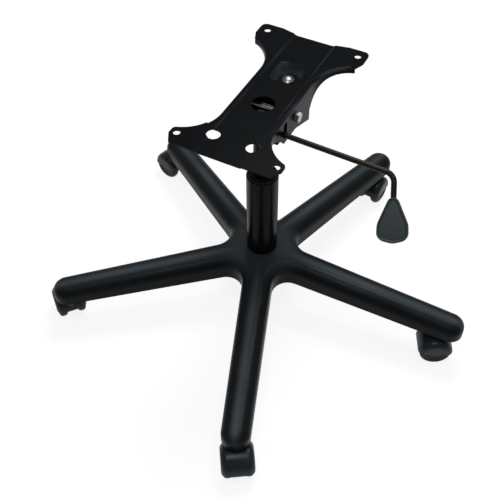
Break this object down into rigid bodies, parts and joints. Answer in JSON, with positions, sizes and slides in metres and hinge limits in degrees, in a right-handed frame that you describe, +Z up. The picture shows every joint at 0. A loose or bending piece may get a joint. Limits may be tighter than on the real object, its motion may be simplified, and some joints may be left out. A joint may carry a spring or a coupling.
{
  "type": "swivel chair base",
  "caption": "Star-shaped swivel chair base on hooded casters, with a gas lift column, a tilting pressed-steel seat plate and a paddle lever that releases the lift.",
  "frame": {"origin": "on the floor under the column axis", "axes": "+Z is up along the column, +Y is the seat's front, +X is the side of the release lever"},
  "size_m": [0.6772, 0.6988, 0.41],
  "materials": {
    "star_nylon": "fine texture, satin",
    "caster_plastic": "satin gloss",
    "wheel_nylon": "satin",
    "column_paint": "gloss black",
    "plate_paint": "satin black",
    "lever_paint": "satin black",
    "handle_plastic": "matt charcoal",
    "bush_plastic": "smooth",
    "zinc_steel": "zinc plated",
    "bright_steel": "ground",
    "dark_bolt": "polished black",
    "black_rubber": "matt"
  },
  "bodies": {
    "base": {"star_base": "star_nylon", "hub_ring": "zinc_steel", "caster_grip_rings": "zinc_steel", "column_tube": "column_paint", "guide_bush": "bush_plastic", "thrust_washer_lower": "bright_steel", "thrust_bearing": "bright_steel"},
    "spindle": {"piston_rod": "bright_steel", "piston": "bush_plastic", "thrust_washer_upper": "bright_steel", "rubber_buffer": "black_rubber", "retaining_clip": "zinc_steel"},
    "carriage": {"pressure_cylinder": "column_paint", "taper_socket": "plate_paint", "tilt_bracket": "plate_paint", "pivot_bushes": "bush_plastic", "tilt_bumpers": "black_rubber", "lever_bush": "bush_plastic", "tension_spring": "black_rubber"},
    "pin": {"release_pin": "bright_steel"},
    "lever": {"lever_rod": "lever_paint", "lever_handle": "handle_plastic"},
    "seat": {"seat_plate": "plate_paint", "pivot_axle": "zinc_steel", "pivot_nut": "zinc_steel", "tension_bolt": "dark_bolt", "spring_cap": "zinc_steel"},
    "knob": {"tension_knob": "handle_plastic"},
    "caster_1": {"caster_1_hood": "caster_plastic", "caster_1_stem": "zinc_steel", "caster_1_axle": "zinc_steel"},
    "caster_1_left": {"caster_1_wheel_left": "wheel_nylon"},
    "caster_1_right": {"caster_1_wheel_right": "wheel_nylon"},
    "caster_2": {"caster_2_hood": "caster_plastic", "caster_2_stem": "zinc_steel", "caster_2_axle": "zinc_steel"},
    "caster_2_left": {"caster_2_wheel_left": "wheel_nylon"},
    "caster_2_right": {"caster_2_wheel_right": "wheel_nylon"},
    "caster_3": {"caster_3_hood": "caster_plastic", "caster_3_stem": "zinc_steel", "caster_3_axle": "zinc_steel"},
    "caster_3_left": {"caster_3_wheel_left": "wheel_nylon"},
    "caster_3_right": {"caster_3_wheel_right": "wheel_nylon"},
    "caster_4": {"caster_4_hood": "caster_plastic", "caster_4_stem": "zinc_steel", "caster_4_axle": "zinc_steel"},
    "caster_4_left": {"caster_4_wheel_left": "wheel_nylon"},
    "caster_4_right": {"caster_4_wheel_right": "wheel_nylon"},
    "caster_5": {"caster_5_hood": "caster_plastic", "caster_5_stem": "zinc_steel", "caster_5_axle": "zinc_steel"},
    "caster_5_left": {"caster_5_wheel_left": "wheel_nylon"},
    "caster_5_right": {"caster_5_wheel_right": "wheel_nylon"}
  },
  "joints": [
    {"name": "seat_swivel", "type": "hinge", "parent": "base", "child": "spindle", "pos_m": [0, 0, 0.069], "axis": [0, 0, 1], "continuous": true},
    {"name": "seat_lift", "type": "slide", "parent": "spindle", "child": "carriage", "axis": [0, 0, 1], "range_m": [-0.068, 0]},
    {"name": "seat_tilt", "type": "hinge", "parent": "carriage", "child": "seat", "pos_m": [0, 0.0205, 0.387], "axis": [1, 0, 0], "range_deg": [0, 15], "stiffness_Nm_per_rad": 120, "springref_deg": -8.59, "deforming": ["tension_spring"]},
    {"name": "release_lever", "type": "hinge", "parent": "carriage", "child": "lever", "pos_m": [0.03675, -0.015, 0.3797], "axis": [0, -1, 0], "range_deg": [0, 7], "stiffness_Nm_per_rad": 1.5, "springref_deg": -5.73},
    {"name": "release_pin", "type": "slide", "parent": "carriage", "child": "pin", "axis": [0, 0, -1], "range_m": [0, 0.0046]},
    {"name": "tension_knob", "type": "hinge", "parent": "seat", "child": "knob", "pos_m": [0, 0.08, 0.325], "axis": [0, 0, 1], "continuous": true},
    {"name": "caster_1_swivel", "type": "hinge", "parent": "base", "child": "caster_1", "pos_m": [0.32963, 0.01554, 0.0575], "axis": [0, 0, 1], "continuous": true},
    {"name": "caster_1_left_roll", "type": "hinge", "parent": "caster_1", "child": "caster_1_left", "pos_m": [0.31345, 0.00765, 0.025], "axis": [-0.4384, 0.8988, 0], "continuous": true},
    {"name": "caster_1_right_roll", "type": "hinge", "parent": "caster_1", "child": "caster_1_right", "pos_m": [0.31345, 0.00765, 0.025], "axis": [-0.4384, 0.8988, 0], "continuous": true},
    {"name": "caster_2_swivel", "type": "hinge", "parent": "base", "child": "caster_2", "pos_m": [0.08708, 0.3183, 0.0575], "axis": [0, 0, 1], "continuous": true},
    {"name": "caster_2_left_roll", "type": "hinge", "parent": "caster_2", "child": "caster_2_left", "pos_m": [0.0852, 0.3004, 0.025], "axis": [-0.9945, 0.1045, 0], "continuous": true},
    {"name": "caster_2_right_roll", "type": "hinge", "parent": "caster_2", "child": "caster_2_right", "pos_m": [0.0852, 0.3004, 0.025], "axis": [-0.9945, 0.1045, 0], "continuous": true},
    {"name": "caster_3_swivel", "type": "hinge", "parent": "base", "child": "caster_3", "pos_m": [-0.27582, 0.18118, 0.0575], "axis": [0, 0, 1], "continuous": true},
    {"name": "caster_3_left_roll", "type": "hinge", "parent": "caster_3", "child": "caster_3_left", "pos_m": [-0.2932, 0.18584, 0.025], "axis": [0.2588, 0.9659, 0], "continuous": true},
    {"name": "caster_3_right_roll", "type": "hinge", "parent": "caster_3", "child": "caster_3_right", "pos_m": [-0.2932, 0.18584, 0.025], "axis": [0.2588, 0.9659, 0], "continuous": true},
    {"name": "caster_4_swivel", "type": "hinge", "parent": "base", "child": "caster_4", "pos_m": [-0.25754, -0.20633, 0.0575], "axis": [0, 0, 1], "continuous": true},
    {"name": "caster_4_left_roll", "type": "hinge", "parent": "caster_4", "child": "caster_4_left", "pos_m": [-0.27133, -0.19476, 0.025], "axis": [0.6428, 0.766, 0], "continuous": true},
    {"name": "caster_4_right_roll", "type": "hinge", "parent": "caster_4", "child": "caster_4_right", "pos_m": [-0.27133, -0.19476, 0.025], "axis": [0.6428, 0.766, 0], "continuous": true},
    {"name": "caster_5_swivel", "type": "hinge", "parent": "base", "child": "caster_5", "pos_m": [0.11665, -0.3087, 0.0575], "axis": [0, 0, 1], "continuous": true},
    {"name": "caster_5_left_roll", "type": "hinge", "parent": "caster_5", "child": "caster_5_left", "pos_m": [0.12645, -0.32379, 0.025], "axis": [-0.8387, -0.5446, 0], "continuous": true},
    {"name": "caster_5_right_roll", "type": "hinge", "parent": "caster_5", "child": "caster_5_right", "pos_m": [0.12645, -0.32379, 0.025], "axis": [-0.8387, -0.5446, 0], "continuous": true}
  ],
  "couplings": [
    {"joint": "release_pin", "follows": "release_lever", "m_per_rad": 0.03675}
  ]
}
